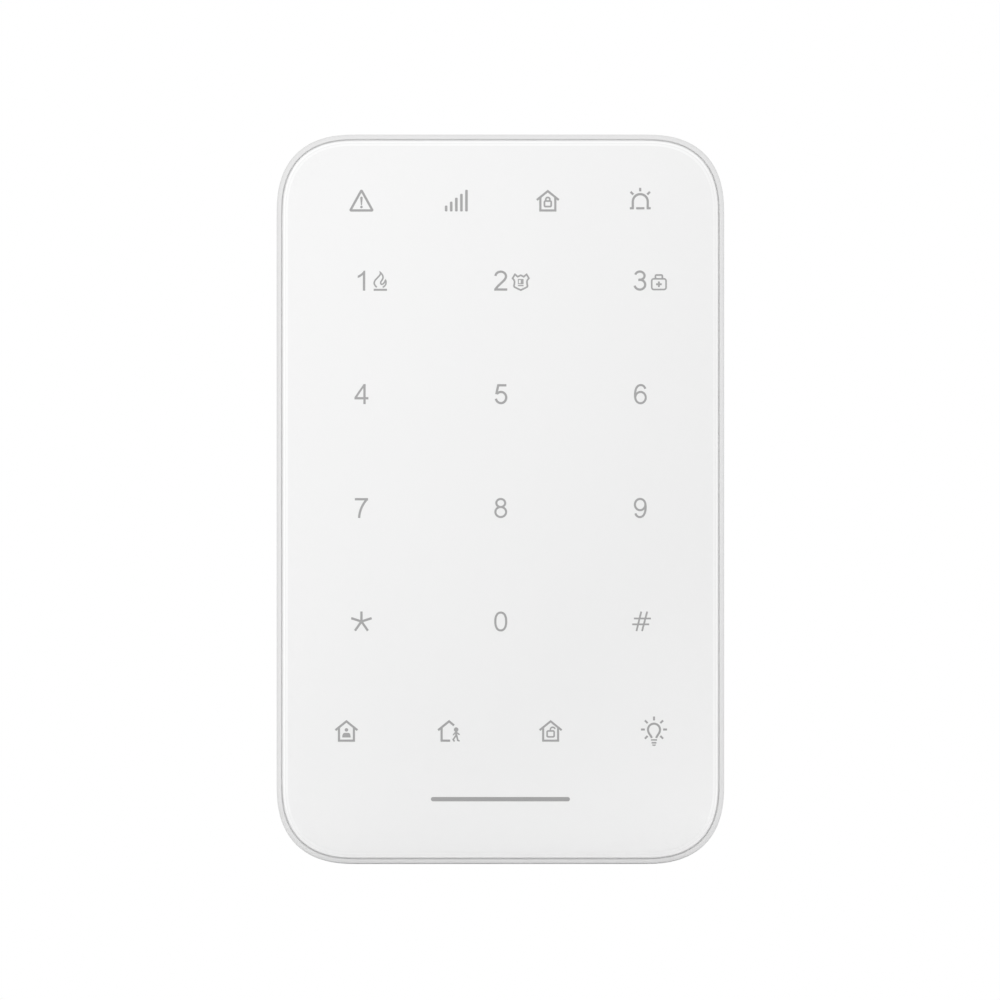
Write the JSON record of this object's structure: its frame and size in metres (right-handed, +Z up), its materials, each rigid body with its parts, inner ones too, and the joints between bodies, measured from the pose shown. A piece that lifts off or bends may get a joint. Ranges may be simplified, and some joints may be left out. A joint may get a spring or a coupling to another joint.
{
  "type": "alarm keypad",
  "caption": "Slim wireless alarm keypad with a flat glossy touch panel, a battery bay and a wall bracket that it slides off upwards.",
  "frame": {"origin": "centre of the wall bracket's flat rear face, where it meets the wall", "axes": "+X to the right seen from the front, +Y into the wall, +Z up; the touch panel faces -Y"},
  "size_m": [0.094, 0.0245, 0.1532],
  "materials": {
    "panel": "glossy white sheet with a rounded polished edge",
    "case": "fine satin texture, moulded white",
    "bracket": "matt moulded white",
    "shield": "matt white",
    "film": "translucent matt film",
    "tape": "foam tape",
    "board": "green solder mask",
    "chip": "black moulded package",
    "can": "tin-plated sheet",
    "antenna": "bare copper wire",
    "buzzer": "black moulded",
    "lamp": "pale phosphor lens",
    "cell": "printed plastic jacket on a steel can",
    "spring": "nickel-plated wire",
    "contact": "nickel-plated sheet",
    "screw": "zinc-plated",
    "switch": "black moulded",
    "plunger": "grey moulded",
    "knob": "grey moulded"
  },
  "bodies": {
    "bracket": {"wall_bracket": "bracket", "security_screw": "screw"},
    "keypad": {"antenna": "antenna", "battery_cell_1": "cell", "battery_cell_2": "cell", "battery_cell_3": "cell", "battery_cell_4": "cell", "battery_spring_1": "spring", "battery_spring_2": "spring", "battery_spring_3": "spring", "battery_spring_4": "spring", "board_screw_1": "screw", "board_screw_2": "screw", "buzzer": "buzzer", "contact_link_left": "contact", "contact_link_low": "contact", "contact_link_right": "contact", "diffuser_film": "film", "front_housing": "case", "front_panel": "panel", "housing_screw_1": "screw", "housing_screw_2": "screw", "housing_screw_3": "screw", "housing_screw_4": "screw", "lamp_function_1": "lamp", "lamp_function_2": "lamp", "lamp_function_3": "lamp", "lamp_function_4": "lamp", "lamp_indicator_1": "lamp", "lamp_indicator_2": "lamp", "lamp_indicator_3": "lamp", "lamp_indicator_4": "lamp", "lamp_key_01": "lamp", "lamp_key_02": "lamp", "lamp_key_03": "lamp", "lamp_key_04": "lamp", "lamp_key_05": "lamp", "lamp_key_06": "lamp", "lamp_key_07": "lamp", "lamp_key_08": "lamp", "lamp_key_09": "lamp", "lamp_key_10": "lamp", "lamp_key_11": "lamp", "lamp_key_12": "lamp", "light_shield": "shield", "main_board": "board", "panel_adhesive": "tape", "power_switch_body": "switch", "processor_chip": "chip", "radio_can": "can", "rear_housing": "case", "tamper_spring": "spring", "tamper_switch": "switch", "terminal_negative": "contact", "terminal_positive": "contact", "touch_chip": "chip"},
    "tamper": {"tamper_plunger": "plunger"},
    "power": {"power_switch_slider": "knob"}
  },
  "joints": [
    {"name": "keypad_lift", "type": "slide", "parent": "bracket", "child": "keypad", "axis": [0, 0, 1], "range_m": [0, 0.008]},
    {"name": "tamper_out", "type": "slide", "parent": "keypad", "child": "tamper", "axis": [0, 1, 0], "range_m": [0, 0.0015], "stiffness_N_per_m": 120, "springref_m": 0.003, "deforming": ["tamper_spring"]},
    {"name": "power_slide", "type": "slide", "parent": "keypad", "child": "power", "axis": [0, 0, 1], "range_m": [0, 0.0025]}
  ],
  "couplings": [
    {"joint": "tamper_out", "follows": "keypad_lift", "ratio": 0.1875}
  ]
}
